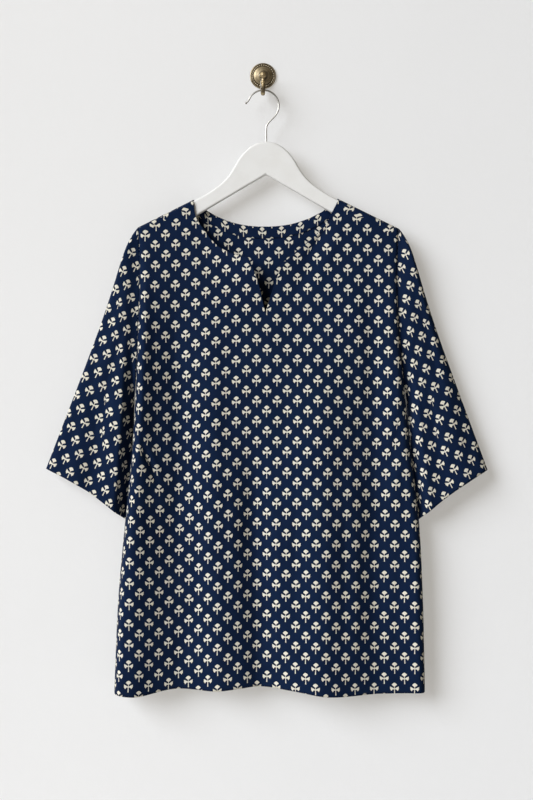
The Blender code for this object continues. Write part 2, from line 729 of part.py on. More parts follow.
def build_hook_arm(finish):
    """The hook's arm: out of the plate, down into the crook and up to the ball, with a collar below it."""
    foot_y = -7.7 * MM - SEAM_GAP
    crook_z = LOOP_CENTRE[1] + LOOP_RADIUS - WIRE_RADIUS - SEAM_GAP - ARM_RADIUS + CROOK_RADIUS
    crook = arc_points((MIDDLE_Y, crook_z), CROOK_RADIUS, 25, -180, 18)
    root = [(foot_y - 1 * MM, -1.5 * MM), (foot_y - 2.2 * MM, -2 * MM), (foot_y - 4.2 * MM, -4.6 * MM)]
    front_y = MIDDLE_Y - CROOK_RADIUS
    collar_z = crook_z + 3.5 * MM
    ball_bottom = BALL_Z - BALL_RADIUS
    bend = [(foot_y, root[0][1]), *curve_through([*root, *crook], 26)]
    Ring = namedtuple("Ring", "z radius")
    rise = [
        Ring(collar_z - 1.8 * MM, ARM_RADIUS),
        Ring(collar_z - 1 * MM, ARM_RADIUS + 0.8 * MM),
        Ring(collar_z + 1 * MM, ARM_RADIUS + 0.8 * MM),
        Ring(collar_z + 1.8 * MM, ARM_RADIUS - 0.3 * MM),
        Ring(ball_bottom - 0.2 * MM, ARM_RADIUS - 0.6 * MM),
    ]
    for degrees in np.linspace(-58, 84, 9):
        angle = math.radians(degrees)
        rise.append(Ring(BALL_Z + BALL_RADIUS * math.sin(angle), BALL_RADIUS * math.cos(angle)))
    path = [(0, y, z) for y, z in bend] + [(0, front_y, ring.z) for ring in rise]
    radii = [ARM_RADIUS] * len(bend) + [ring.radius for ring in rise]
    return lofted("hook_arm", swept_rings(path, radii, (1, 0, 0), 12), finish)


def main():
    clear_scene()
    cotton = material("printed_cotton", NAVY, 0.8)
    facing_cotton = material("facing_cotton", FACED_NAVY, 0.8)
    paint = material("white_paint", WHITE_PAINT, 0.45)
    steel = material("polished_steel", STEEL, 0.25, 1.0)
    brass = material("aged_brass", BRASS, 0.38, 1.0)

    cloth_piece("front_panel", panel_grid(-1, front_tops(), rows=24), cotton)
    back = panel_grid(1, back_tops(), rows=20)
    cloth_piece("back_panel", back, cotton)
    for sleeve in SLEEVES:
        cloth_piece(sleeve.name, sleeve_grid(sleeve), cotton, wraps=True)
    cloth_piece("neck_facing", facing_grid(back), facing_cotton, wall=FACING_WALL)

    build_hanger(paint)
    build_wire_hook(steel)
    build_plate(brass)
    build_hook_arm(brass)


main()
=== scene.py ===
import json
import math

import bpy
import numpy as np
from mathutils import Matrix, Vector

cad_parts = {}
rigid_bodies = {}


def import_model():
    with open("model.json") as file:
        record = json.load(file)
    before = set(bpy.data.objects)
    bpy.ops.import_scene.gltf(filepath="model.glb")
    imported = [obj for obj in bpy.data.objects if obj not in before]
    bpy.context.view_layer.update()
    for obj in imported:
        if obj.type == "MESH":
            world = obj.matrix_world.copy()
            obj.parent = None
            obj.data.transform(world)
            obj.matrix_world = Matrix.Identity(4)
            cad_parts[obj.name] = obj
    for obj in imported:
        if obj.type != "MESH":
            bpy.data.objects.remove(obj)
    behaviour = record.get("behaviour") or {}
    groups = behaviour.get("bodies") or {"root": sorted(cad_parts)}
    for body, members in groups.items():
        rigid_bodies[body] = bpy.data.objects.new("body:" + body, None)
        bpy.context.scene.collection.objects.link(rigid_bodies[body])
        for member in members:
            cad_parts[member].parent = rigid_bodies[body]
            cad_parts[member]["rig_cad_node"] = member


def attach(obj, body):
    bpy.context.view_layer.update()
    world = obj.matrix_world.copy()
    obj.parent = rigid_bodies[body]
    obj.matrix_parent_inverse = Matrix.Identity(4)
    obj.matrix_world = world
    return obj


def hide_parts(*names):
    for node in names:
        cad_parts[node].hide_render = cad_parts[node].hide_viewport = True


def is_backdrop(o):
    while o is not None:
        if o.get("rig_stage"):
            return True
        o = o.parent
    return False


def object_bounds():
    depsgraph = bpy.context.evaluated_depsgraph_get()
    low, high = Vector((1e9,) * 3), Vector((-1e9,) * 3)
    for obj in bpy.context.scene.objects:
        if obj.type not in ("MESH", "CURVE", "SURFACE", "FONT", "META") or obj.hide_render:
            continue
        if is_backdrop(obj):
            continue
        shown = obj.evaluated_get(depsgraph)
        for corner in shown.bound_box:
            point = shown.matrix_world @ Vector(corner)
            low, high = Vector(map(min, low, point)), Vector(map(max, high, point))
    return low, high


mm = 0.001
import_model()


def writeSizes(sizes):
    low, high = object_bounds()
    sizes.append([list(low), list(high)])


sizes = []
writeSizes(sizes)
print("stage: frame loaded")


# Curves and tables


def smooth(value, start, end):
    share = np.clip((value - start) / (end - start), 0, 1)
    return share * share * (3 - 2 * share)


def roundIn(share):
    # A quarter of a circle: 0 at the edge, 1 and level from share 1 on.
    return np.sqrt(1 - (1 - np.clip(share, 0, 1)) ** 2)


def between(knots, values, at):
    # A smooth curve through a table's column.
    knots, values = np.array(knots, float), np.array(values, float)
    slopes = np.gradient(values, knots)
    at = np.clip(at, knots[0], knots[-1])
    low = np.clip(np.searchsorted(knots, at) - 1, 0, len(knots) - 2)
    width = knots[low + 1] - knots[low]
    share = (at - knots[low]) / width
    rise = values[low] + (values[low + 1] - values[low]) * share**2 * (3 - 2 * share)
    return rise + slopes[low] * width * share * (1 - share) ** 2 - slopes[low + 1] * width * share**2 * (1 - share)


def curveThrough(points, count):
    points = np.array(points, float)
    along = np.concatenate([[0], np.cumsum(np.linalg.norm(np.diff(points, axis=0), axis=1))])
    at = np.linspace(0, along[-1], count + 1)
    return np.stack([between(along, points[:, k], at) for k in range(2)], axis=1)


def column(rows, place):
    return [row[place] for row in rows]


# The cloth's form, the same as its solids'. Lengths here are in millimetres, seen from the front.
form = {
    "middleY": -24,
    "cutX": 5.9,
    "hemZ": -990,
    "shoulderRadius": 7.1,
    "seamForward": 5.5,
    "shoulderGap": 0.5,
    "sideGap": 0.4,
    "armholeHalfGap": 6,
    "armholeClosing": 40,
    "underarmZ": -495,
    "frontRound": 14,
    "backRound": 45,
    "neckX": (-112, 121),
    "neckRise": 12,
    "neckTurn": 2.4,
    "backNeckDrop": 42,
    "backNeckPower": 2.3,
    "hangerX": 5,
    "hangerTilt": math.radians(0.15),
    "hangPoint": (0.4, -27.6),
    "armSlope": math.tan(math.radians(26.3)),
    "armReach": (116, -205.2),
    "armSpan": 201,
    "clothLift": 1.5,
    "foldGrowth": 260,
    "spreadZ": -620,
    "backCut": (-3.1, 11.9),
    "turnedEdge": 0.45,
}

# height, right edge, left edge
bodyLevels = (
    (-992, -238.4, 259.8),
    (-842, -231.6, 256.4),
    (-712, -219.8, 249.4),
    (-624, -211.2, 239.4),
    (-558, -206.5, 232.0),
    (-495, -203.5, 225.5),
    (-430, -201.0, 219.1),
    (-307, -197.6, 215.0),
    (-250, -199.0, 217.0),
)

# height, how far the front and the back stand from the middle plane
swells = ((-990, 22, 14), (-600, 21, 14), (-450, 18, 13), (-330, 11.5, 11), (-250, 8.2, 9.2))

# x, the hem's height in front and behind
hemPoints = (
    (-239, -994, -994),
    (-205, -997, -991),
    (-145, -987.5, -987),
    (-78, -989.5, -990),
    (-5, -984, -988),
    (46, -988.5, -989),
    (106, -997, -990),
    (180, -995.5, -989),
    (222, -994.5, -992),
    (260, -994, -994),
)

# The main folds: top z, top x, hem x, depth, width at the top and at the hem
frontFolds = (
    (-262, -187, -213, 14, 13, 37),
    (-262, -140, -125, -11.5, 24, 39),
    (-400, -84, -72, 6, 22, 28),
    (-500, -24, 0, -13.5, 22, 30),
    (-400, 92, 94, 13.5, 40, 46),
    (-262, 172, 191, -10.5, 16, 36),
    (-420, 222, 237, -5, 18, 26),
)
backFolds = (
    (-330, -168, -186, -4, 18, 26),
    (-330, -120, -128, 5, 24, 36),
    (-420, -50, -58, -5, 26, 34),
    (-380, 18, 26, 4.5, 28, 38),
    (-450, 84, 92, -4.5, 24, 30),
    (-330, 132, 148, 5, 24, 34),
)

# Around the slit: x, z, depth, width, height
curls = ((-22, -300, 9, 34, 44), (34, -306, 3, 26, 36))

# Creases: x and z of the start, x and z of the end, depth, width. A ridge is positive, a trough negative.
frontCreases = (
    (128, -238, 62, -372, 1.6, 11),
    (112, -226, 62, -312, -1.9, 5),
    (103, -234, 57, -296, 1.1, 6),
    (-197, -586, -168, -664, -3.2, 4.5),
    (-189, -590, -159, -664, 1.8, 5.5),
    (108, -236, 40, -392, -1.3, 10),
    (-104, -250, -66, -372, -1.2, 12),
    (-124, -236, -96, -350, 1.0, 11),
    (-205, -560, -168, -668, -2.2, 7),
    (-208, -536, -182, -640, 1.5, 6),
    (-200, -600, -150, -700, 1.3, 8),
    (226, -520, 196, -640, -1.8, 8),
    (228, -560, 205, -700, 1.4, 8),
    (56, -560, 62, -930, -2.4, 13),
    (20, -640, 30, -985, 1.8, 12),
    (134, -620, 142, -985, 2.2, 13),
    (-108, -640, -106, -988, -1.1, 11),
    (-46, -600, -40, -900, 1.7, 12),
    (-163, -700, -161, -988, -0.9, 9),
    (88, -430, 76, -640, 1.1, 14),
    (-40, -420, -52, -600, -0.9, 13),
    (150, -420, 152, -640, -1.5, 12),
    (-140, -330, -128, -470, 1.1, 11),
    (211, -760, 215, -990, -1.4, 8),
)
backCreases = (
    (-128, -236, -70, -380, 1.3, 12),
    (130, -236, 76, -372, -1.4, 12),
    (-40, -262, -30, -400, 1.0, 16),
    (-205, -540, -160, -640, -1.4, 9),
    (224, -530, 176, -650, -1.6, 9),
    (-90, -560, -96, -960, 1.6, 13),
    (-16, -620, -10, -985, -1.7, 12),
    (54, -560, 60, -900, 1.3, 12),
    (116, -640, 120, -985, -1.8, 12),
    (196, -700, 204, -990, 1.6, 11),
    (-150, -480, -154, -760, 1.2, 13),
    (-216, -740, -214, -990, 1.3, 9),
)

# Sharp creases that take up cloth: x and z of the start, x and z of the end, cloth taken
frontTucks = (
    (-197, -586, -168, -664, 7),
    (-212, -640, -196, -720, 4),
    (112, -226, 64, -306, 4),
    (222, -540, 200, -620, 4),
    (-196, -257, -108, -211, 6),
    (118, -212, 214, -262, -6),
    (-186, -250, -120, -216, -3),
)

rightNeckline = ((-106, -235.5), (-96, -250), (-83, -268), (-68, -281.6), (-51, -290.6), (-23, -299))
slitFoot = (3.9, -387)
rightSlit = ((-9.5, -332), slitFoot)
leftSlit = ((20, -337), (32, -307.6))
leftNeckline = ((49, -291.6), (67, -276.6), (84, -262.6), (99, -247.6), (110, -226.6))


def sideEdge(side, z):
    return between(column(bodyLevels, 0), column(bodyLevels, 1 if side < 0 else 2), z)


def shoulderLine(x):
    # The height of the cloth over the hanger's arms.
    pivotX, pivotZ = form["hangPoint"]
    cos, sin = math.cos(form["hangerTilt"]), math.sin(form["hangerTilt"])
    reach, height = form["armReach"]
    heights = []
    for out in (-1, 1):
        ends = []
        for way in (reach, form["armSpan"]):
            dx = form["hangerX"] + out * way - pivotX
            dz = height - form["armSlope"] * (way - reach) - pivotZ
            ends.append((pivotX + dx * cos - dz * sin, pivotZ + dx * sin + dz * cos))
        (nearX, nearZ), (farX, farZ) = ends
        heights.append(nearZ + (farZ - nearZ) / (farX - nearX) * (x - nearX))
    return np.where(x < form["hangerX"], *heights) + form["clothLift"] * math.hypot(1, form["armSlope"])


def topHeight(x):
    # Straight between the neck points.
    right, left = form["neckX"][0] + form["neckRise"], form["neckX"][1] - form["neckRise"]
    ends = shoulderLine(np.array([right, left]))
    return np.where((x > right) & (x < left), np.interp(x, [right, left], ends), shoulderLine(x))


def foldRelief(folds, x, z, lean=0.0):
    # With some lean, a fold's face on the left of a ridge is broader than the one on its right.
    total = np.zeros(np.broadcast(x, z).shape)
    for topZ, topX, hemX, depth, topWidth, hemWidth in folds:
        down = (topZ - z) / (topZ - form["hemZ"])
        centre = topX + (hemX - topX) * down
        width = topWidth + (hemWidth - topWidth) * np.clip(down, 0, 1)
        wide = 1 + lean * np.tanh((centre - x if depth > 0 else x - centre) / (0.3 * width))
        total += depth * smooth(topZ - z, 0, form["foldGrowth"]) * np.exp(-(((x - centre) / width / wide) ** 2))
    return total


def creaseRelief(creases, x, z):
    # Each crease is steeper on one side, and dies out unevenly at its ends.
    total = np.zeros(np.broadcast(x, z).shape)
    for number, (startX, startZ, endX, endZ, depth, width) in enumerate(creases):
        length = math.hypot(endX - startX, endZ - startZ)
        alongX, alongZ = (endX - startX) / length, (endZ - startZ) / length
        way = ((x - startX) * alongX + (z - startZ) * alongZ) / length
        bend = 0.5 * width * np.sin(2.6 * way + number * 1.7)
        off = (x - startX) * alongZ - (z - startZ) * alongX + bend
        lean = np.where(off > 0, 0.72, 1.35) if number % 2 else np.where(off > 0, 1.3, 0.75)
        taper = smooth(way, -0.1, 0.35 + 0.2 * math.sin(number * 2.1)) * (1 - smooth(way, 0.62, 1.12))
        total += depth * taper * np.exp(-((off / (width * lean)) ** 2))
    return total


def tuckShift(tucks, x, z):
    # How far the print moves sideways where cloth is taken up in a sharp crease.
    total = np.zeros(np.broadcast(x, z).shape)
    for startX, startZ, endX, endZ, taken in tucks:
        length = math.hypot(endX - startX, endZ - startZ)
        alongX, alongZ = (endX - startX) / length, (endZ - startZ) / length
        way = ((x - startX) * alongX + (z - startZ) * alongZ) / length
        off = (x - startX) * -alongZ + (z - startZ) * alongX
        taper = smooth(way, -0.05, 0.3) * (1 - smooth(way, 0.7, 1.05))
        total += 0.5 * taken * taper * np.tanh(off / 1.8) * np.exp(-np.abs(off) / 26)
    return total


def ripples(x, z, seed, waves=26):
    # The faint unevenness of soft cloth, mostly upright.
    picks = np.random.default_rng(seed)
    total = np.zeros(np.broadcast(x, z).shape)
    for _ in range(waves):
        turn = picks.normal(0, 0.45)
        number = 2 * math.pi / picks.uniform(34, 130)
        phase = picks.uniform(0, 2 * math.pi)
        total += np.sin(number * (x * math.cos(turn) + z * 0.5 * math.sin(turn)) + phase) * 0.11
    return total


def halfGap(z):
    opened = form["armholeHalfGap"] * roundIn((z - form["underarmZ"]) / form["armholeClosing"])
    return np.maximum(opened, form["sideGap"] / 2)


def panelLift(face, x, z):
    # How far the front, face -1, or the back stands from the hanger's plane.
    gap = halfGap(z)
    swell = between(column(swells, 0), column(swells, 1 if face < 0 else 2), z)
    growth = 0.25 + 0.75 * smooth(z, -260, -620)
    if face < 0:
        relief = foldRelief(frontFolds, x, z, 0.1) + creaseRelief(frontCreases, x, z) + ripples(x, z, 5) * growth
        for curlX, curlZ, depth, across, down in curls:
            relief = relief + depth * np.exp(-(((x - curlX) / across) ** 2) - ((z - curlZ) / down) ** 2)
        spread = form["frontRound"]
    else:
        relief = foldRelief(backFolds, x, z) + creaseRelief(backCreases, x, z) + ripples(x, z, 8) * growth
        spread = form["frontRound"] + (form["backRound"] - form["frontRound"]) * smooth(z, -300, -480)
    inside = np.minimum(x - sideEdge(-1, z), sideEdge(1, z) - x)
    return gap + roundIn(inside / spread) * (swell + relief - gap)


def clothPoints(face, x, top, arc):
    # A negative arc reaches over the top line to the other face.
    reached = np.where(arc < 0, -face, face)
    radius = form["shoulderRadius"]
    angle = np.minimum(np.abs(arc) / radius, math.pi / 2)
    z = top - radius * (1 - np.cos(angle)) - np.maximum(np.abs(arc) - radius * math.pi / 2, 0)
    lift = np.where(reached < 0, panelLift(-1, x, z), panelLift(1, x, z))
    return np.stack([x + 0 * z, form["middleY"] + reached * np.sin(angle) * lift, z], axis=-1)


def arcOfDrop(drop):
    radius = form["shoulderRadius"]
    return radius * np.arccos(np.clip(1 - drop / radius, 0, 1)) + np.maximum(drop - radius, 0)


def shoulderTops(side, count, seamArc):
    edge = float(sideEdge(side, -250))
    neck = form["neckX"][0 if side < 0 else 1]
    return np.linspace(edge, neck, count + 1), np.full(count + 1, seamArc)


def neckTops(points, count):
    x, z = curveThrough(points, count).T
    return x, arcOfDrop(topHeight(x) - z)


def joined(*stretches):
    return tuple(
        np.concatenate([stretch[part][0 if number == 0 else 1 :] for number, stretch in enumerate(stretches)])
        for part in (0, 1)
    )


def turned(stretch):
    return stretch[0][::-1], stretch[1][::-1]


def neckCorner(x, seamArc):
    radius = form["shoulderRadius"]
    return x, float(topHeight(np.array(x))) - radius * (1 - math.cos(seamArc / radius))


def frontTops(shoulder, neckline, slit):
    seam = form["seamForward"] + form["shoulderGap"] / 2
    return joined(
        shoulderTops(-1, shoulder, seam),
        neckTops((neckCorner(form["neckX"][0], seam), *rightNeckline), neckline),
        neckTops((rightNeckline[-1], *rightSlit), slit),
        neckTops((slitFoot, *leftSlit), slit),
        neckTops((leftSlit[-1], *leftNeckline, neckCorner(form["neckX"][1], seam)), neckline),
        turned(shoulderTops(1, shoulder, seam)),
    )


def backNeckDrop(x):
    right, left = form["neckX"]
    share = np.clip(np.abs(x - (right + left) / 2) / ((left - right) / 2), 0, 1)
    level = np.interp(x, [right, left], shoulderLine(np.array([right, left])))
    return form["backNeckDrop"] * (1 - share ** form["backNeckPower"]) + topHeight(x) - level


def backTops(shoulder, turn, neckline):
    seam = -form["seamForward"] + form["shoulderGap"] / 2
    right, left = form["neckX"][0] + form["neckTurn"], form["neckX"][1] - form["neckTurn"]
    even = np.linspace(0, 1, neckline + 1)
    x = right + (left - right) * (0.4 * (1 - np.cos(math.pi * even)) / 2 + 0.6 * even)
    arc = arcOfDrop(backNeckDrop(x))
    steps = np.linspace(0, 1, turn + 1)
    return joined(
        shoulderTops(-1, shoulder, seam),
        (form["neckX"][0] + form["neckTurn"] * steps, seam + (arc[0] - seam) * steps),
        (x, arc),
        (left + form["neckTurn"] * steps, arc[-1] + (seam - arc[-1]) * steps),
        turned(shoulderTops(1, shoulder, seam)),
    )


def cutWidth(face, x, z, steps=40):
    # How far across the flat cut a point is from the middle column, measured over the folds.
    shares = np.linspace(0, 1, steps + 1)
    total = np.zeros(x.shape)
    before = panelLift(face, np.full(x.shape, form["cutX"]), z)
    reach = (x - form["cutX"]) / steps
    for share in shares[1:]:
        now = panelLift(face, form["cutX"] + (x - form["cutX"]) * share, z)
        total += np.hypot(reach, np.clip(now - before, -3 * np.abs(reach), 3 * np.abs(reach)))
        before = now
    return total * np.sign(x - form["cutX"])


def sag(x):
    # The cloth hangs a little lower on the right of the slit.
    return 12 * smooth(form["cutX"] - x, 10, 190) + 3 * smooth(x - form["cutX"], 60, 200)


def panelGrid(face, tops, rows, firstRows, evenness):
    # Points of a panel, its place on the flat cut, and the way from its hem.
    topX, topArc = tops
    top = topHeight(topX)
    even = np.linspace(0, 1, len(topX))
    across = evenness * even + (1 - evenness) * (1 - np.cos(math.pi * even)) / 2
    hemX = sideEdge(-1, form["hemZ"]) * (1 - across) + sideEdge(1, form["hemZ"]) * across
    hemArc = arcOfDrop(top - between(column(hemPoints, 0), column(hemPoints, 1 if face < 0 else 2), hemX))
    first = np.linspace(0, 19.5, firstRows)[:, None] + 0 * topArc
    share = np.linspace(0, 1, rows - firstRows + 1)[1:, None]
    arc = topArc + np.concatenate([first, 19.5 + (hemArc - topArc - 19.5) * share])
    startZ, z = top - np.maximum(topArc, 0), top - np.maximum(arc, 0)
    topRight, topLeft = sideEdge(-1, startZ), sideEdge(1, startZ)
    topAcross = (topX - topRight) / (topLeft - topRight)
    share = topAcross + (across - topAcross) * smooth(startZ - z, 0, startZ - form["spreadZ"])
    x = sideEdge(-1, z) * (1 - share) + sideEdge(1, z) * share
    points = clothPoints(face, x, top, arc)
    cut = np.stack([cutWidth(face, x, points[..., 2]), arc - top - sag(x)], axis=-1)
    if face > 0:
        cut = cut + np.array(form["backCut"])
    else:
        cut[..., 0] += tuckShift(frontTucks, x, points[..., 2])
    # The edge is turned in, which thickens it.
    points[..., 1] += face * form["turnedEdge"] * np.exp(-(((arc - topArc - 2.2) / 1.6) ** 2))
    return points, cut, hemArc - arc


# The sleeves hang from the shoulder points to their cuffs.
sleeveForm = {
    "bulge": (7.5, 0.1),
    "cuffInnerZ": -722,
    "clear": 2.2,
    "armholeClear": 0.75,
    "underarmClear": 1.3,
    "tuck": 5,
    "innerY": -9.5,
    "outerY": -21,
    "backY": -7.5,
    "valleyY": -15.5,
    "rise": 22,
    "frontY": -36,
    "outerRound": 15,
    "innerRound": 8,
    "grain": math.radians(26.5),
    "lowHead": (0.62, 0.45),
    "gathered": (8, 12),
}
sleeveSides = {
    "sleeve_right": {
        "out": -1,
        "edge": -199.0,
        "cuff": (-348.6, -636),
        "bow": 7.5,
        "leansBack": 0.09,
        "folds": (
            (-300, -221, -242, 4, 14, 18),
            (-400, -252, -310, -5, 14, 16),
            (-450, -272, -350, 3, 16, 20),
        ),
        "creases": (
            (-214, -330, -268, -520, 1.6, 8),
            (-232, -330, -300, -560, -1.4, 8),
            (-226, -420, -262, -690, -2.2, 8),
            (-246, -400, -292, -670, 1.8, 8),
            (-280, -500, -330, -640, -1.3, 9),
            (-243, -486, -249, -612, 3.0, 7),
            (-262, -490, -270, -604, -1.6, 7),
        ),
        "tucks": ((-251, -494, -257, -610, 7), (-226, -330, -238, -430, 4)),
        "seed": 21,
    },
    "sleeve_left": {
        "out": 1,
        "edge": 217.0,
        "cuff": (361, -638),
        "bow": 5,
        "leansBack": 0.13,
        "folds": (
            (-300, 243, 400, 5, 18, 24),
            (-420, 262, 300, -3, 14, 20),
        ),
        "creases": (
            (234, -330, 286, -520, -1.6, 8),
            (246, -330, 320, -600, 1.5, 9),
            (244, -420, 272, -690, -2.0, 8),
            (262, -430, 300, -670, 1.7, 8),
            (290, -480, 342, -650, -1.4, 9),
        ),
        "tucks": ((268, -500, 282, -610, 5), (246, -330, 262, -430, 4)),
        "seed": 34,
    },
}


def sleeveGrid(sleeve, rings, halfCount):
    # Rings from the armhole to the cuff, each down the front from the outer fold line and back up behind.
    out = sleeve["out"]
    shoulderZ = float(topHeight(np.array(sleeve["edge"])))
    along = (np.linspace(0, 1, rings + 1) ** 1.2)[:, None]
    share = (1 - np.cos(math.pi * np.linspace(0, 1, halfCount + 1))) / 2
    across = np.concatenate([share[:-1], share[::-1]])
    face = np.concatenate([-np.ones(halfCount), np.ones(halfCount + 1)])

    bulge, bulgeSpan = sleeveForm["bulge"]
    bulged = along / bulgeSpan * np.exp(1 - along / bulgeSpan)
    outerX = sleeve["edge"] + (sleeve["cuff"][0] - sleeve["edge"]) * along + out * bulge * bulged
    outerZ = shoulderZ + (sleeve["cuff"][1] - shoulderZ) * along
    innerZ = form["underarmZ"] + (sleeveForm["cuffInnerZ"] - form["underarmZ"]) * along
    clear, underarm = sleeveForm["clear"], sleeveForm["underarmClear"]
    beside = underarm + (clear - underarm) * smooth(along, 0, 0.15)
    tucked = (clear + sleeveForm["tuck"]) * smooth(along, 0.38, 0.7)
    innerX = sideEdge(out, innerZ) + out * (beside - tucked)

    z = outerZ + (innerZ - outerZ) * across
    x = outerX + (innerX - outerX) * across
    opened = smooth(z[0] - form["underarmZ"], form["armholeClosing"] / 2, 4 * form["armholeClosing"])
    seamX = sideEdge(out, z[0]) + out * (underarm + (sleeveForm["armholeClear"] - underarm) * opened)
    x = x + (seamX - x[0]) * (1 - smooth(along, 0, 0.5))
    z = z + sleeve["bow"] * smooth(along, 0.4, 1) * np.sin(math.pi * across)

    chord = np.hypot(outerX - innerX, outerZ - innerZ)
    middle, halfOpen = form["middleY"], form["armholeHalfGap"]
    past = out * (x - sideEdge(out, z))
    below = smooth(form["underarmZ"] + 60 - z, 0, 130) * smooth(along, 0, 0.15)
    valley = (middle - halfOpen) * (1 - below) + sleeveForm["valleyY"] * below
    risen = smooth(past, 1, sleeveForm["rise"])
    relief = foldRelief(sleeve["folds"], x, z) + creaseRelief(sleeve["creases"], x, z)
    relief = relief + ripples(x, z, sleeve["seed"]) * smooth(along, 0.05, 0.5)
    low, lowUntil = sleeveForm["lowHead"]
    risen = risen * (low + (1 - low) * smooth(along, 0.05, lowUntil))
    front = valley + (sleeveForm["frontY"] - valley) * risen - relief * risen
    front = front - sleeve["leansBack"] * (across - 0.5) * chord * smooth(along, 0.1, 0.5)
    behind = middle + halfOpen
    behindRelief = (creaseRelief(sleeve["creases"], x - 9 * out, z) + ripples(x, z, sleeve["seed"] + 1)) * 0.8
    back = behind + (sleeveForm["backY"] - behind + behindRelief) * smooth(along, 0, 0.3)
    layer = np.where(face < 0, front, back)

    outerY = middle + (sleeveForm["outerY"] - middle) * smooth(along, 0, 0.4)
    innerY = middle + (sleeveForm["innerY"] - middle) * smooth(along, 0.02, 0.36)
    edgeY = outerY + (innerY - outerY) * across
    radius = form["shoulderRadius"]
    outerRound = radius + (sleeveForm["outerRound"] - radius) * smooth(along, 0, 0.3)
    innerRound = form["armholeClosing"] + (sleeveForm["innerRound"] - form["armholeClosing"]) * smooth(along, 0, 0.3)
    closing = roundIn(across * chord / outerRound) * roundIn((1 - across) * chord / innerRound)
    y = edgeY + (layer - edgeY) * closing
    points = np.stack([x, y, z], axis=-1)

    # On the flat cut the back half is the front's mirror image across the outer fold line.
    start = np.array([sleeve["edge"], shoulderZ])
    line = np.array([sleeve["cuff"][0], sleeve["cuff"][1]]) - start
    line = line / np.linalg.norm(line)
    grain = sleeveForm["grain"]
    down = np.array([out * math.sin(grain), -math.cos(grain)])
    sideways = np.array([math.cos(grain), out * math.sin(grain)])
    gathered, gatheredOver = sleeveForm["gathered"]
    taken = tuckShift(sleeve["tucks"], x, z) - out * gathered * np.exp(-np.clip(past, -6, 200) / gatheredOver)
    flat = np.stack([x, z], axis=-1) - start + taken[..., None] * sideways
    normal = np.array([line[1], -line[0]])
    off = flat @ normal
    step = np.linalg.norm(np.diff(points, axis=1), axis=-1)
    flatStep = np.hypot(np.diff(x, axis=1), np.diff(z, axis=1))
    extra = np.concatenate([np.zeros((rings + 1, 1)), np.cumsum(step - flatStep, axis=1)], axis=1)
    extra = np.where(face < 0, extra, extra[:, -1:] - extra)
    inward = np.sign(off[-1, halfCount // 2])
    wide = off + inward * extra
    flat = flat + (np.where(face < 0, wide, -wide) - off)[..., None] * normal
    cut = np.stack([flat @ sideways, flat @ down], axis=-1)
    length = np.linalg.norm(points[-1] - points[0], axis=-1)
    return points, cut, (1 - along) * length


def facingGrid(columns, rows, depth, endMargin, inward):
    # A strip inside the back neck, made from the back's own points and moved in.
    right, left = form["neckX"][0] + endMargin, form["neckX"][1] - endMargin
    x = np.linspace(right, left, columns + 1)
    top = topHeight(x)
    arc = arcOfDrop(backNeckDrop(x) + 0.6) + depth * np.linspace(0, 1, rows + 1)[:, None]
    points = clothPoints(1, x, top, arc)
    normals = np.cross(np.gradient(points, axis=0), np.gradient(points, axis=1))
    normals /= np.linalg.norm(normals, axis=-1, keepdims=True)
    normals *= -np.sign(normals[..., 1:2])
    steps = np.linalg.norm(np.diff(points[0], axis=0), axis=-1)
    along = np.concatenate([[0], np.cumsum(steps)]) - steps.sum() / 2
    cut = np.stack([along * 1.06 + 6.3 + 0 * arc, arc - arc[0] + 407.9], axis=-1)
    return points + normals * inward, cut, depth - (arc - arc[0])


def clothPiece(name, made, thickness):
    points, cut, fromHem = made
    rows, columns, _ = points.shape
    corner = np.arange(rows * columns).reshape(rows, columns)
    faces = np.stack([corner[:-1, :-1], corner[1:, :-1], corner[1:, 1:], corner[:-1, 1:]], axis=-1)
    faces = faces.reshape(-1, 4)
    mesh = bpy.data.meshes.new(name)
    mesh.from_pydata((points * mm).reshape(-1, 3).tolist(), [], faces.tolist())
    corners = np.zeros(len(mesh.loops), dtype=np.int32)
    mesh.loops.foreach_get("vertex_index", corners)
    flatCut = (cut * mm).reshape(-1, 2)
    sewn = np.stack([flatCut[:, 0], (fromHem * mm + np.zeros((rows, columns))).reshape(-1)], axis=-1)
    for layerName, values in (("cut", flatCut), ("sewn", sewn)):
        layer = mesh.uv_layers.new(name=layerName)
        layer.data.foreach_set("uv", values[corners].astype(np.float32).reshape(-1))
    mesh.shade_smooth()
    piece = bpy.data.objects.new(name, mesh)
    bpy.context.scene.collection.objects.link(piece)
    wall = piece.modifiers.new("Wall", "SOLIDIFY")
    wall.thickness = thickness * mm
    wall.offset = 0
    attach(piece, "root")
    return piece


# Materials


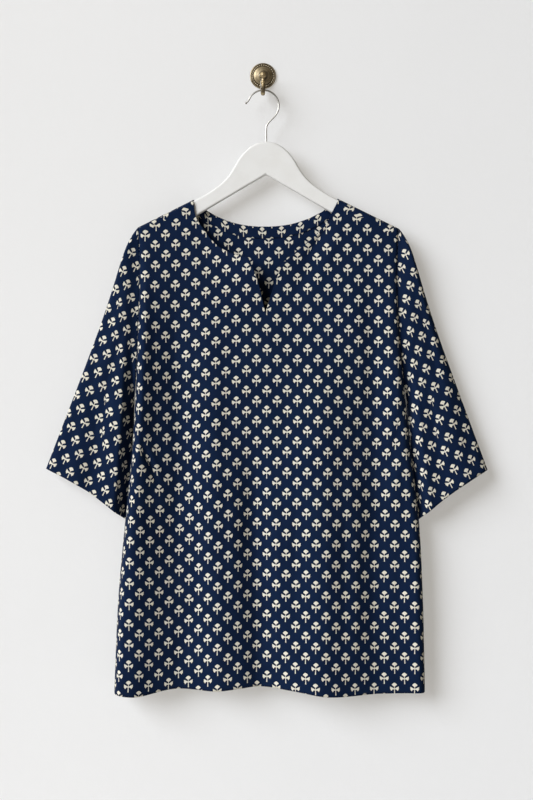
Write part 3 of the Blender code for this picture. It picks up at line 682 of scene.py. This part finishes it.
class Wire:
    # A socket of a material, with arithmetic on it.
    def __init__(self, socket):
        self.socket = socket

    def maths(self, operation, *others):
        node = self.socket.id_data.nodes.new("ShaderNodeMath")
        node.operation = operation
        for place, value in zip(node.inputs, (self, *others)):
            plug(place, value)
        return Wire(node.outputs[0])

    def __add__(self, other):
        return self.maths("ADD", other)

    __radd__ = __add__

    def __sub__(self, other):
        return self.maths("SUBTRACT", other)

    def __rsub__(self, other):
        return self.maths("MULTIPLY_ADD", -1, other)

    def __mul__(self, other):
        return self.maths("MULTIPLY", other)

    __rmul__ = __mul__

    def __truediv__(self, other):
        return self.maths("DIVIDE", other)

    def __mod__(self, other):
        return self.maths("FLOORED_MODULO", other)

    def __pow__(self, other):
        return self.maths("POWER", other)

    def __abs__(self):
        return self.maths("ABSOLUTE")

    def floor(self):
        return self.maths("FLOOR")

    def root(self):
        return self.maths("SQRT")

    def sine(self):
        return self.maths("SINE")

    def least(self, other):
        return self.maths("MINIMUM", other)

    def most(self, other):
        return self.maths("MAXIMUM", other)

    def between(self, low, high):
        # 0 below low, 1 above high
        node = self.socket.id_data.nodes.new("ShaderNodeMapRange")
        node.interpolation_type = "SMOOTHSTEP"
        for place, value in zip(node.inputs, (self, low, high)):
            plug(place, value)
        return Wire(node.outputs[0])


def plug(place, value):
    if isinstance(value, Wire):
        place.id_data.links.new(value.socket, place)
    else:
        place.default_value = value


class Material:
    def __init__(self, name):
        self.made = bpy.data.materials.new(name)
        self.made.use_nodes = True
        self.tree = self.made.node_tree
        self.shader = self.tree.nodes["Principled BSDF"]

    def node(self, kind, settings=None, values=None, output=0):
        node = self.tree.nodes.new("ShaderNode" + kind)
        for key, value in (settings or {}).items():
            setattr(node, key, value)
        for key, value in (values or {}).items():
            plug(node.inputs[key], value)
        return Wire(node.outputs[output])

    def map(self, name):
        uv = self.node("UVMap", {"uv_map": name})
        split = self.tree.nodes.new("ShaderNodeSeparateXYZ")
        plug(split.inputs[0], uv)
        return Wire(split.outputs[0]), Wire(split.outputs[1])

    def place(self):
        return self.node("TexCoord", output="Object")

    def vector(self, x, y, z=0.0):
        return self.node("CombineXYZ", values={0: x, 1: y, 2: z})

    def noise(self, vector, scale, detail=2.0, output="Fac"):
        return self.node("TexNoise", values={"Vector": vector, "Scale": scale, "Detail": detail}, output=output)

    def mix(self, share, first, second, blend="MIX"):
        return self.node(
            "Mix", {"data_type": "RGBA", "blend_type": blend}, {0: share, 6: first, 7: second}, output=2
        )

    def bump(self, height, distance, strength=1.0):
        return self.node("Bump", values={"Height": height, "Distance": distance, "Strength": strength})

    def finish(self, values):
        for key, value in values.items():
            plug(self.shader.inputs[key], value)
        return self.made


cottonLook = {
    "navy": (0.0048, 0.0152, 0.0495, 1),
    "deepNavy": (0.0027, 0.0092, 0.0322, 1),
    "cream": (0.79, 0.76, 0.66, 1),
    "tan": (0.60, 0.555, 0.455, 1),
    "columnPitch": 16.3,
    "rowPitch": 32.6,
    "firstMotif": (0.3, 417.6),
    "softEdge": 0.3,
    "inkEdge": 0.62,
    "thread": 0.42,
    "stitchFromHem": 18.0,
    "stitchLength": 3.2,
}


def cotton(name, look, dim=1.0, insidePaintedLight=1.0):
    paint = Material(name)
    u, v = paint.map("cut")
    u, v = u * 1000, v * 1000

    # A leaf and flower motif in a half-drop repeat, each printed a little unevenly.
    columnPitch, rowPitch = look["columnPitch"], look["rowPitch"]
    startU, startV = look["firstMotif"]
    columnOf = ((u - startU) / columnPitch + 0.5).floor()
    drop = (columnOf % 2) * 0.5
    rowOf = ((v - startV) / rowPitch + 0.5 + drop).floor()
    dice = paint.node("TexWhiteNoise", {"noise_dimensions": "2D"}, {"Vector": paint.vector(columnOf, rowOf)}, 1)
    split = paint.tree.nodes.new("ShaderNodeSeparateColor")
    plug(split.inputs[0], dice)
    first, second, third = (Wire(split.outputs[k]) for k in range(3))
    x = u - startU - columnOf * columnPitch + (first - 0.5) * 0.6
    y = (rowOf - drop) * rowPitch + startV - v + (second - 0.5) * 0.6
    x = x + y * ((third - 0.5) * 0.09)
    side = abs(x)

    # Distances in from each edge: a cap, a pair of two-lobed leaves, the stem and the vein between them
    fromCap = ((side / 5.0) ** 1.4 + (abs(y - 5.9) / 4.1) ** 1.4) ** 0.714
    cap = ((1 - fromCap) * 3.8).least((y - 1.86 - side * 0.78) * 0.79)
    lobe = (y + 1.9).most((y + side * 1.28 - 1.46) * 0.615)
    leaf = ((0.52 + side * 0.525 - y) * 0.885).least((y - side * 1.5 + 12.3) * 0.555)
    leaf = leaf.least(7.5 - side).least(lobe)
    stem = (1.05 - y * 0.045 - side).least(y + 9.6).least(0.2 - y)
    vein = (1.1 - side).least(3.2 - y).least(y + 1.0)
    fine = paint.vector(u, v)
    shape = cap.most(leaf).most(stem).most(vein) + (paint.noise(fine, 0.9, 3.0) - 0.5) * 0.5 - look["inkEdge"]
    printed = (shape / look["softEdge"] + 0.5).between(0, 1)

    # Yarns across and along, with slubs, and ink that takes unevenly.
    thread = 2 * math.pi / look["thread"]
    weft = ((v * thread).sine() * 0.5 + 0.5) ** 0.6
    warp = ((u * thread).sine() * 0.5 + 0.5) ** 0.6
    weave = weft * warp
    slubs = paint.noise(paint.vector(u * 0.05, v * 1.6), 1.0, 2.0) * 0.5
    slubs = slubs + paint.noise(paint.vector(u * 1.6, v * 0.05), 1.0, 2.0) * 0.5
    cloudy = paint.noise(fine, 0.018, 3.0)
    ink = paint.noise(fine, 0.55, 3.0).between(0.45, 0.75)
    heart = (1 - (side**2 + abs(y - 5.7) ** 2).root() / 2.4).between(0, 0.6) * 0.45
    heart = heart + (1 - (abs(side - 4.7) ** 2 + abs(y * 2.2 + 0.9) ** 2).root() / 2.4).between(0, 0.8) * 0.4
    cream = paint.mix((ink * 0.4 + heart * ink + third * 0.1).least(1.0), look["cream"], look["tan"])
    # The ink lies thicker around each motif.
    around = (shape + 1.4).between(0, 1.4)
    depth = cloudy.between(0.3, 0.7) * 0.35 + slubs * 0.35 + around * 0.6
    navy = paint.mix(depth.least(1.0), look["navy"], look["deepNavy"])
    colour = paint.mix(printed * (0.98 - weave * 0.04), navy, cream)
    # The colour is scaled by dim for painted shade, as on the neck facing, and inward-facing sides are scaled again
    # for painted light, as inside the back panel.
    facing = paint.tree.nodes.new("ShaderNodeSeparateXYZ")
    plug(facing.inputs[0], paint.node("TexCoord", output="Normal"))
    inside = 1 - Wire(facing.outputs[1]).between(-0.2, 0.2)
    shade = ((weave * 0.12 + slubs * 0.24 + 0.8) * (dim - inside * (1 - insidePaintedLight))).least(1.0)
    colour = paint.mix(1.0, colour, paint.vector(shade, shade, shade), "MULTIPLY")

    # The hem is turned up and stitched, which pulls the cloth in a little.
    along, fromHem = paint.map("sewn")
    along, fromHem = along * 1000, fromHem * 1000
    nearStitch = 1 - (abs(fromHem - look["stitchFromHem"]) / 0.9).between(0, 1)
    dashes = (((along / look["stitchLength"]) % 1) - 0.5).maths("ABSOLUTE").between(0.16, 0.3)
    pulled = 1 - (abs(fromHem - look["stitchFromHem"]) / 5).between(0, 1)
    turnedUp = 1 - (fromHem - look["stitchFromHem"]).between(-1.5, 1.5)
    height = weave * 0.12 + slubs * 0.3 + turnedUp * 0.35 - pulled * 0.3 - nearStitch * dashes * 0.35
    height = height + paint.noise(fine, 0.11, 2.0) * 0.5 + printed * 0.03
    return paint.finish(
        {
            "Base Color": colour,
            "Roughness": 0.86 - printed * 0.04,
            "Specular IOR Level": 0.07,
            "Sheen Weight": 0.02,
            "Sheen Roughness": 0.45,
            "Sheen Tint": (0.6, 0.75, 1, 1),
            "Normal": paint.bump(height, 0.0006, 0.8),
        }
    )


# Plain printed cotton; the back panel's copy gets painted light on its inner side, and the neck facing's copy gets
# painted shade.
cloth = cotton("printedCotton", cottonLook)
backCloth = cotton("backCotton", cottonLook, 1.0, 1.1)
facingCloth = cotton("facingCotton", cottonLook, 0.98)
print("stage: materials ready")

# Cloth pieces

pieceSizes = {
    "front_panel": {"columns": (30, 30, 16), "rows": 150, "firstRows": 14, "evenness": 0.6, "wall": 0.8},
    "back_panel": {"columns": (24, 6, 56), "rows": 120, "firstRows": 14, "evenness": 0.6, "wall": 0.8},
    "sleeve": {"rings": 96, "halfCount": 56, "wall": 0.8},
    "neck_facing": {"columns": 90, "rows": 10, "depth": 18.5, "endMargin": 10, "inward": 1.05, "wall": 0.7},
}

size = pieceSizes["front_panel"]
tops = frontTops(*size["columns"])
front = clothPiece("front", panelGrid(-1, tops, size["rows"], size["firstRows"], size["evenness"]), size["wall"])
front.data.materials.append(cloth)
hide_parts("front_panel")

size = pieceSizes["back_panel"]
tops = backTops(*size["columns"])
back = clothPiece("back", panelGrid(1, tops, size["rows"], size["firstRows"], size["evenness"]), size["wall"])
back.data.materials.append(backCloth)
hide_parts("back_panel")

size = pieceSizes["sleeve"]
for node, sleeve in sleeveSides.items():
    piece = clothPiece(node + "_cloth", sleeveGrid(sleeve, size["rings"], size["halfCount"]), size["wall"])
    piece.data.materials.append(cloth)
    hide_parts(node)

size = pieceSizes["neck_facing"]
strip = facingGrid(size["columns"], size["rows"], size["depth"], size["endMargin"], size["inward"])
facing = clothPiece("back_neck_facing", strip, size["wall"])
facing.data.materials.append(facingCloth)
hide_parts("neck_facing")
print("stage: cloth made")

# Hanger, wire and wall hook


def whitePaint():
    paint = Material("whitePaint")
    place = paint.place()
    grain = paint.node("Mapping", values={"Vector": place, "Scale": (26, 60, 260)})
    streaks = paint.noise(grain, 1.0, 4.0)
    cloudy = paint.noise(place, 30.0, 3.0)
    base = paint.mix(cloudy.between(0.35, 0.7) * 0.5, (0.812, 0.808, 0.80, 1), (0.752, 0.742, 0.722, 1))
    base = paint.mix(streaks.between(0.55, 0.75) * 0.12, base, (0.69, 0.67, 0.63, 1))
    height = streaks * 0.4 + cloudy * 0.2
    return paint.finish(
        {
            "Base Color": base,
            "Roughness": 0.5 + cloudy * 0.14,
            "Specular IOR Level": 0.3,
            "Coat Weight": 0.04,
            "Coat Roughness": 0.4,
            "Normal": paint.bump(height, 0.0002, 0.5),
        }
    )


def drawnSteel():
    paint = Material("drawnSteel")
    place = paint.place()
    marks = paint.noise(place, 900.0, 3.0)
    dull = paint.noise(place, 60.0, 3.0)
    base = paint.mix(dull.between(0.4, 0.7) * 0.6, (0.42, 0.408, 0.383, 1), (0.31, 0.30, 0.283, 1))
    return paint.finish(
        {
            "Base Color": base,
            "Metallic": 1.0,
            "Roughness": 0.42 + dull * 0.12,
            "Normal": paint.bump(marks, 0.0001, 0.25),
        }
    )


brassLook = {
    "bright": (0.52, 0.40, 0.22, 1),
    "worn": (0.40, 0.305, 0.165, 1),
    "patina": (0.035, 0.026, 0.016, 1),
    # Painted shade makes the rising arm and its ball darker at their sides than at their fronts.
    "paintedShadeFront": 36.0,
    # radius of each groove round the plate, and its half width, in millimetres
    "grooves": ((18.8, 0.8), (15.6, 0.7), (11.3, 0.45)),
    "roughness": 0.33,
    "coat": 0.3,
}
plateLook = {
    **brassLook,
    "bright": (0.33, 0.262, 0.16, 1),
    "worn": (0.245, 0.192, 0.112, 1),
    "roughness": 0.38,
    "coat": 0.15,
}


# The beads are a lighter brass than the plate, with painted shade on a thin band at their backs, towards the plate.
beadLook = {**brassLook, "bright": (0.66, 0.56, 0.40, 1), "worn": (0.52, 0.43, 0.30, 1), "paintedShadeFront": -1.5}


def agedBrass(name, look, turned, hollowGrimeAndShade=1.15):
    paint = Material(name)
    place = paint.place()
    cloudy = paint.noise(place, 110.0, 4.0)
    spots = paint.noise(place, 420.0, 4.0)
    # Hollows and the gaps between parts are made darker by ambient occlusion: partly patina, partly painted shade.
    open_ = paint.node("AmbientOcclusion", {"samples": 12}, {"Distance": 0.006}, 1)
    grimeAndShadeMix = (1 - open_) * hollowGrimeAndShade + cloudy.between(0.5, 0.75) * 0.3 + spots.between(0.55, 0.7) * 0.15
    split = paint.tree.nodes.new("ShaderNodeSeparateXYZ")
    plug(split.inputs[0], place)
    across, into, up = (Wire(split.outputs[k]) for k in range(3))
    if not turned:
        # Painted shade: a band of depth just behind the front is made darker.
        forward = into * -1000 - look["paintedShadeFront"]
        grimeAndShadeMix = grimeAndShadeMix + (1 - forward.between(1.2, 3.8)) * forward.between(-6, -2) * 0.75
    else:
        radius = (abs(across) ** 2 + abs(up) ** 2).root() * 1000
        for groove, half in look["grooves"]:
            grimeAndShadeMix = grimeAndShadeMix + (1 - (abs(radius - groove) / half).between(0.3, 1)) * 0.55
        # Painted shadow of the ball: a darker disc on the plate behind it.
        middle = (abs(across * 1000 - 1.2) ** 2 + abs(up * 1000 - 0.6) ** 2).root()
        grimeAndShadeMix = grimeAndShadeMix + (1 - middle.between(6.2, 8.8)) * 0.5
    tone = paint.mix(cloudy.between(0.35, 0.65), look["bright"], look["worn"])
    base = paint.mix(grimeAndShadeMix.least(1.0), tone, look["patina"])
    return paint.finish(
        {
            "Base Color": base,
            "Metallic": 0.72,
            "Coat Weight": look["coat"],
            "Coat Roughness": 0.22,
            "Roughness": look["roughness"] + spots * 0.2,
            "Normal": paint.bump(spots * 0.5 + cloudy, 0.0003, 0.5),
        }
    )


def nodeObject(name):
    return next(o for o in bpy.data.objects if o.get("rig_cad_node") == name or o.name == name)


brass = agedBrass("agedBrass", brassLook, False)
plateBrass = agedBrass("plateBrass", plateLook, True)
finishes = {
    "hanger_body": whitePaint(),
    "hanger_hook": drawnSteel(),
    "hook_plate": plateBrass,
    "hook_arm": brass,
}
for name, finish in finishes.items():
    node = nodeObject(name)
    node.data.materials.clear()
    node.data.materials.append(finish)

beadRing = {"count": 30, "radius": 17.15, "bead": 1.15, "depth": 3.3, "rings": 5, "sides": 8}


def beads(ring):
    points, faces = [], []
    for number in range(ring["count"]):
        turn = 2 * math.pi * number / ring["count"]
        centre = Vector((ring["radius"] * math.cos(turn), -ring["depth"], ring["radius"] * math.sin(turn)))
        base = len(points)
        for row in range(ring["rings"]):
            tall = math.pi * (row + 0.5) / ring["rings"] - math.pi / 2
            for side in range(ring["sides"]):
                round_ = 2 * math.pi * side / ring["sides"]
                flat = ring["bead"] * math.cos(tall)
                offset = (flat * math.cos(round_), -ring["bead"] * math.sin(tall), flat * math.sin(round_))
                points.append(tuple((centre + Vector(offset)) * mm))
        for row in range(ring["rings"] - 1):
            for side in range(ring["sides"]):
                after = (side + 1) % ring["sides"]
                low, high = base + row * ring["sides"], base + (row + 1) * ring["sides"]
                faces.append((low + side, high + side, high + after, low + after))
        faces.append(tuple(base + side for side in range(ring["sides"])))
        last = base + (ring["rings"] - 1) * ring["sides"]
        faces.append(tuple(last + side for side in reversed(range(ring["sides"]))))
    mesh = bpy.data.meshes.new("plate_beads")
    mesh.from_pydata(points, [], faces)
    mesh.shade_smooth()
    made = bpy.data.objects.new("plate_beads", mesh)
    bpy.context.scene.collection.objects.link(made)
    return made


beaded = beads(beadRing)
beaded.data.materials.append(agedBrass("beadBrass", beadLook, False, 0.2))
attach(beaded, "root")
print("stage: hanger and hook finished")

# Wall, floor, light and camera


def plaster(name, tone, seenFromBehind, lit=0.0):
    paint = Material(name)
    place = paint.place()
    fine = paint.noise(place, 160.0, 4.0)
    broad = paint.noise(place, 3.0, 2.0)
    base = paint.mix(broad.between(0.3, 0.7), (*tone, 1), tuple(part * 0.985 for part in tone) + (1,))
    # Painted light standing in for light from the rest of the room, which a shadow of the one window doesn't take
    # away: the surface glows, a little more towards the left than the right, and its own colour is turned down by
    # the same share.
    split = paint.tree.nodes.new("ShaderNodeSeparateXYZ")
    plug(split.inputs[0], place)
    sides = Wire(split.outputs[0]).between(-0.45, 0.45)
    near, far = (tuple(part * lit * level for part in (1.0, 0.957, 0.88)) + (1,) for level in (1.08, 0.92))
    glow = paint.mix(sides, near, far)
    made = paint.finish(
        {
            "Base Color": paint.mix(1.0, base, (1 - lit, 1 - lit, 1 - lit, 1), "MULTIPLY"),
            "Roughness": 0.9,
            "Specular IOR Level": 0.2,
            "Emission Color": glow,
            "Emission Strength": 0.8,
            "Normal": paint.bump(fine, 0.0006, 0.35),
        }
    )
    if not seenFromBehind:
        behind = paint.node("NewGeometry", output="Backfacing")
        clear = paint.node("BsdfTransparent")
        both = paint.node("MixShader", values={0: behind, 1: Wire(paint.shader.outputs[0]), 2: clear})
        output = paint.tree.nodes["Material Output"]
        plug(output.inputs["Surface"], both)
    return made


def flatStage(name, corners, finish):
    mesh = bpy.data.meshes.new(name)
    mesh.from_pydata(corners, [], [(0, 1, 2, 3)])
    mesh.materials.append(finish)
    made = bpy.data.objects.new(name, mesh)
    bpy.context.scene.collection.objects.link(made)
    made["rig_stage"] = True
    return made


room = {"wallY": 0.0006, "half": 4.0, "floorZ": -1.75, "top": 3.0, "depth": 5.0}
# The wall glows with painted light that lifts the shadows on it.
wall = flatStage(
    "wall",
    [
        (-room["half"], room["wallY"], room["floorZ"]),
        (room["half"], room["wallY"], room["floorZ"]),
        (room["half"], room["wallY"], room["top"]),
        (-room["half"], room["wallY"], room["top"]),
    ],
    plaster("wallPlaster", (0.853, 0.876, 0.93), False, 0.42),
)
wall.visible_diffuse = False
wall.visible_glossy = False
wall.visible_shadow = False
flatStage(
    "floor",
    [
        (-room["half"], -room["depth"], room["floorZ"]),
        (room["half"], -room["depth"], room["floorZ"]),
        (room["half"], room["depth"], room["floorZ"]),
        (-room["half"], room["depth"], room["floorZ"]),
    ],
    plaster("floorPlaster", (0.8, 0.795, 0.79), True),
)

# Pale backdrops on the other sides, which take no part in the light on the cloth
half, deep = room["half"], room["depth"]
backdropPaint = plaster("backdropPaint", (0.8, 0.8, 0.8), True, 0.85)
for name, (startX, startY, endX, endY) in {
    "backdrop_right": (-half, -deep, -half, deep),
    "backdrop_left": (half, deep, half, -deep),
    "backdrop_front": (half, -deep, -half, -deep),
    "backdrop_behind": (-half, deep, half, deep),
}.items():
    corners = [(startX, startY, room["floorZ"]), (endX, endY, room["floorZ"])]
    corners += [(endX, endY, room["top"]), (startX, startY, room["top"])]
    backdrop = flatStage(name, corners, backdropPaint)
    backdrop.visible_diffuse = False
    backdrop.visible_glossy = False
    backdrop.visible_shadow = False

scene = bpy.context.scene
scene.view_settings.view_transform = "Standard"
world = bpy.data.worlds.new("studio")
world.use_nodes = True
sky = world.node_tree.nodes["Background"]
sky.inputs["Color"].default_value = (1.0, 0.85, 0.62, 1)
sky.inputs["Strength"].default_value = 0.13
scene.world = world

# kind, place, target, size, strength: a broad window light from the upper left, and a weak one behind
lights = {
    "window": ("SUN", (-3.5, -2.9, 1.5), (0, 0, -0.5), math.radians(40), 3.85),
    "rear": ("AREA", (-1.9, 2.0, 0.7), (0, 0, -0.5), 1.2, 42),
}
for name, (kind, where, target, width, power) in lights.items():
    light = bpy.data.lights.new(name, kind)
    if kind == "SUN":
        light.angle = width
    else:
        light.shape = "DISK"
        light.size = width
    light.energy = power
    light.color = (0.965, 0.985, 1.0)
    lamp = bpy.data.objects.new(name, light)
    lamp.location = where
    lamp.rotation_euler = (Vector(target) - Vector(where)).to_track_quat("-Z", "Y").to_euler()
    scene.collection.objects.link(lamp)
    lamp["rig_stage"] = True

cameraData = bpy.data.cameras.new("camera")
cameraData.lens = 67.5
cameraData.sensor_width = 36
camera = bpy.data.objects.new("camera", cameraData)
camera.location = (0.0057, -2.435, -0.5256)
camera.rotation_euler = (math.radians(90), 0, 0)
scene.collection.objects.link(camera)
scene.camera = camera
print("stage: room, lights and camera ready")

writeSizes(sizes)
